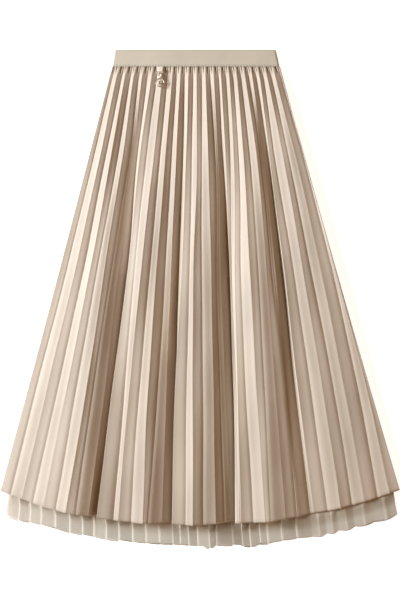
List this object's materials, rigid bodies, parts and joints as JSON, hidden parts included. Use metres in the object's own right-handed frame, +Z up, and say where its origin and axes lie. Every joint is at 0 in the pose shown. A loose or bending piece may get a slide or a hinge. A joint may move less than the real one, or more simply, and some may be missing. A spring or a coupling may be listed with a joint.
{
  "type": "pleated midi skirt with a net underskirt",
  "caption": "Sunray-pleated satin midi skirt on an elastic waistband, laid flat, with a pleated net underskirt showing below the hem and a small ring charm on a tab.",
  "frame": {"origin": "on the surface the skirt lies on, under the middle of its bounding box", "axes": "+X to the viewer's right across the skirt, +Y from hem to waist, +Z up out of the front"},
  "size_m": [0.7, 0.872, 0.037],
  "materials": {
    "satin": "matte satin, pressed pleats",
    "net": "fine soft net",
    "waistband": "smooth elastic satin",
    "tab": "satin ribbon",
    "metal": "pale gold polish"
  },
  "bodies": {
    "skirt": {"satin_front": "satin", "satin_back": "satin", "net_front": "net", "net_back": "net", "waistband_front": "waistband", "waistband_back": "waistband", "charm_tab": "tab"},
    "link": {"charm_link": "metal"},
    "clasp": {"charm_clasp": "metal"},
    "ring": {"charm_ring": "metal"}
  },
  "joints": [
    {"name": "link_lift", "type": "hinge", "parent": "skirt", "child": "link", "pos_m": [-0.071, 0.4, 0.012], "axis": [-1, 0, 0], "range_deg": [0, 90]},
    {"name": "clasp_lift", "type": "hinge", "parent": "link", "child": "clasp", "pos_m": [-0.071, 0.39501, 0.01346], "axis": [-1, 0, 0], "range_deg": [0, 45]},
    {"name": "ring_lift", "type": "hinge", "parent": "clasp", "child": "ring", "pos_m": [-0.071, 0.38695, 0.01582], "axis": [-1, 0, 0], "range_deg": [0, 75]}
  ]
}
